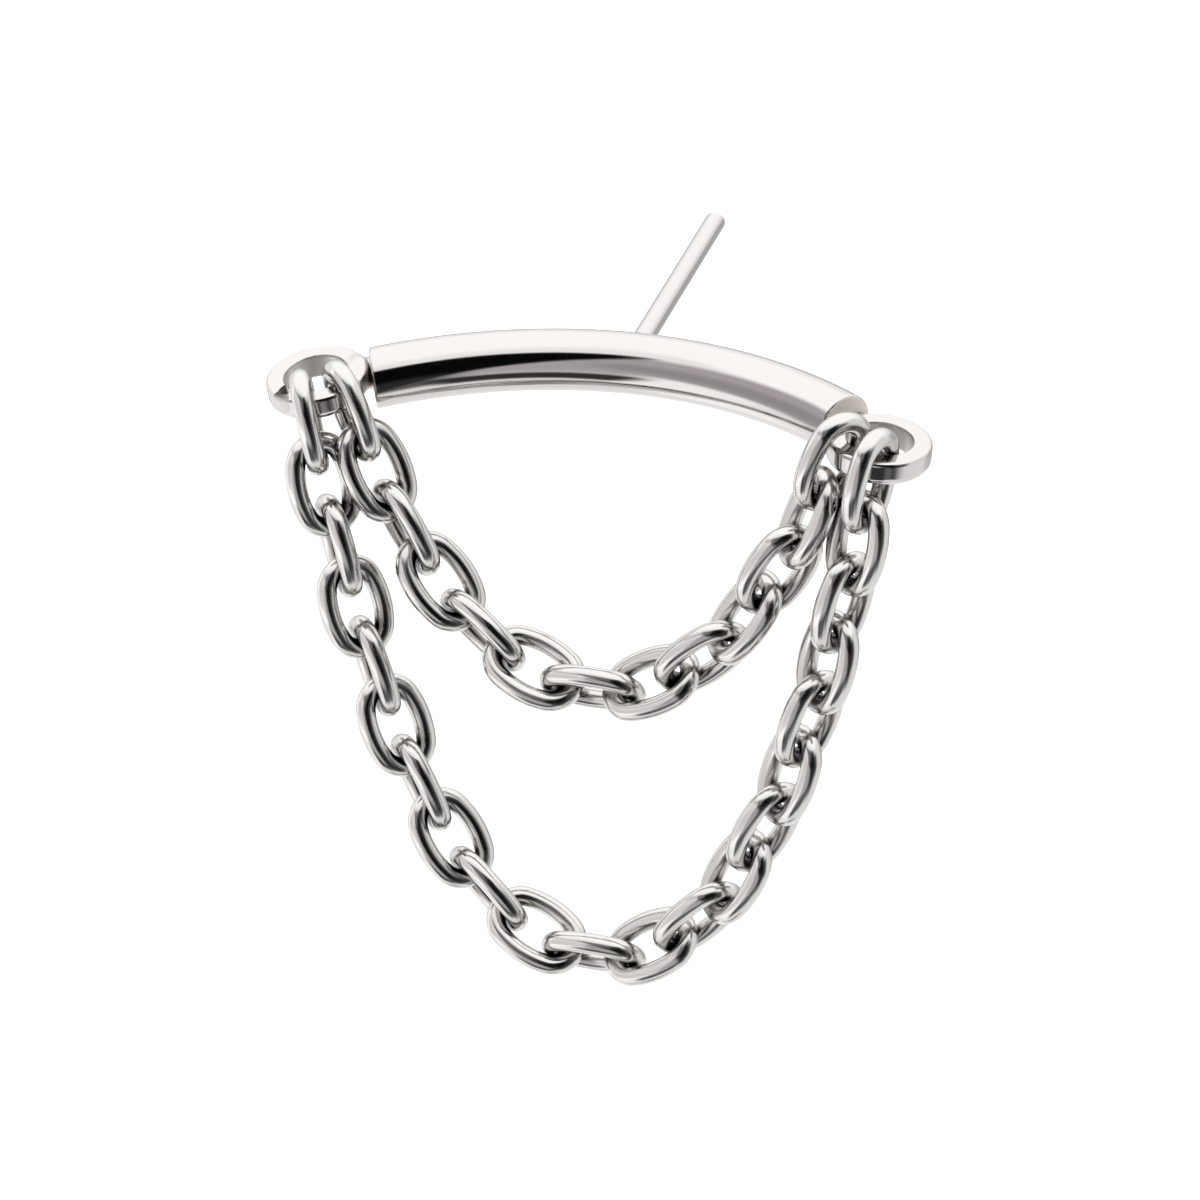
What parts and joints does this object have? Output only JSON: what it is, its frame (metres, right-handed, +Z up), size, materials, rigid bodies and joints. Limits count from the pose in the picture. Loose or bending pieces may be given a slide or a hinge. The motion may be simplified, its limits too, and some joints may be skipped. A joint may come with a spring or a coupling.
{
  "type": "threadless jewellery end with a curved bar and two hanging chain swags",
  "caption": "Polished curved bar end with a straight push pin, a soldered ring at each end of the bar and two swags of oval cable chain hanging from the rings.",
  "frame": {"origin": "on the back of the bar at the middle of its length, where the pin leaves it: the mount pin_seat", "axes": "+X along the bar's chord towards its right end as the picture shows it, +Y to the back, towards the pin's tip, +Z up; the swags hang down -Z, and the bar's plane and the pin rise 13.3 degrees towards the back"},
  "size_m": [0.0199, 0.0133, 0.0201],
  "materials": {
    "bar": "mirror-polished",
    "pin": "drawn and polished",
    "chain": "polished wire"
  },
  "bodies": {
    "root": {"curved_bar": "bar", "push_pin": "pin", "inner_link_01": "chain", "inner_link_02": "chain", "inner_link_03": "chain", "inner_link_04": "chain", "inner_link_05": "chain", "inner_link_06": "chain", "inner_link_07": "chain", "inner_link_08": "chain", "inner_link_09": "chain", "inner_link_10": "chain", "inner_link_11": "chain", "inner_link_12": "chain", "inner_link_13": "chain", "outer_link_01": "chain", "outer_link_02": "chain", "outer_link_03": "chain", "outer_link_04": "chain", "outer_link_05": "chain", "outer_link_06": "chain", "outer_link_07": "chain", "outer_link_08": "chain", "outer_link_09": "chain", "outer_link_10": "chain", "outer_link_11": "chain", "outer_link_12": "chain", "outer_link_13": "chain", "outer_link_14": "chain", "outer_link_15": "chain", "outer_link_16": "chain", "outer_link_17": "chain", "outer_link_18": "chain", "outer_link_19": "chain", "outer_link_20": "chain", "outer_link_21": "chain"}
  },
  "joints": []
}
